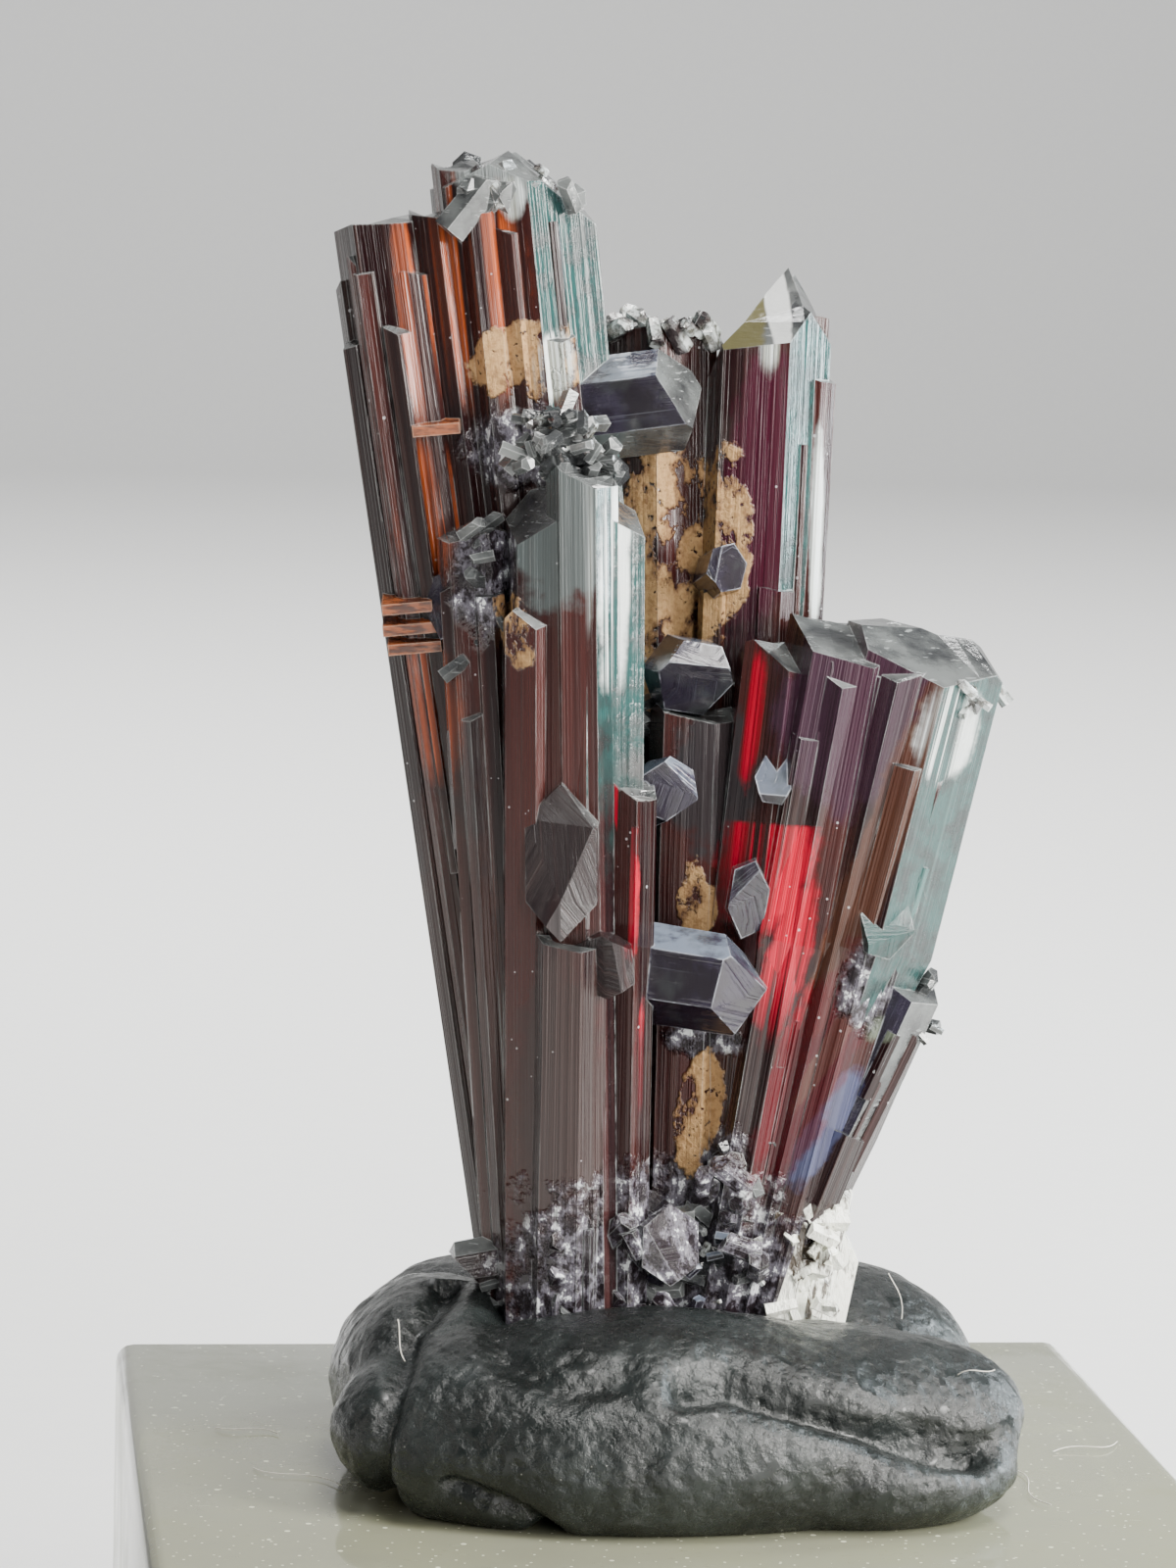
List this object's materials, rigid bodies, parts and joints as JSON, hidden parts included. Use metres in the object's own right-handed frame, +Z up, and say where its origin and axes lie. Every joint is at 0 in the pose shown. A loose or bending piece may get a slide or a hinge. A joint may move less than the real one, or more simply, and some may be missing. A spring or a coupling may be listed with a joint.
{
  "type": "proustite crystal specimen on a display block",
  "caption": "Cluster of fanned dark ruby prismatic crystals held upright by dark putty on a clear square display block.",
  "frame": {"origin": "middle of the block's underside", "axes": "+Z up along the crystals, +X to the block's right and +Y to its back as seen from the front"},
  "size_m": [0.0254, 0.0254, 0.0444],
  "materials": {
    "crystal": "vitreous to sub-metallic dark ruby, striated, tarnished grey in places",
    "putty": "satin, dimpled, dark grey-green",
    "acrylic": "clear polished plastic, dusty and lightly scratched"
  },
  "bodies": {
    "root": {"proustite_crystals": "crystal", "mounting_putty": "putty", "display_block": "acrylic"}
  },
  "joints": []
}
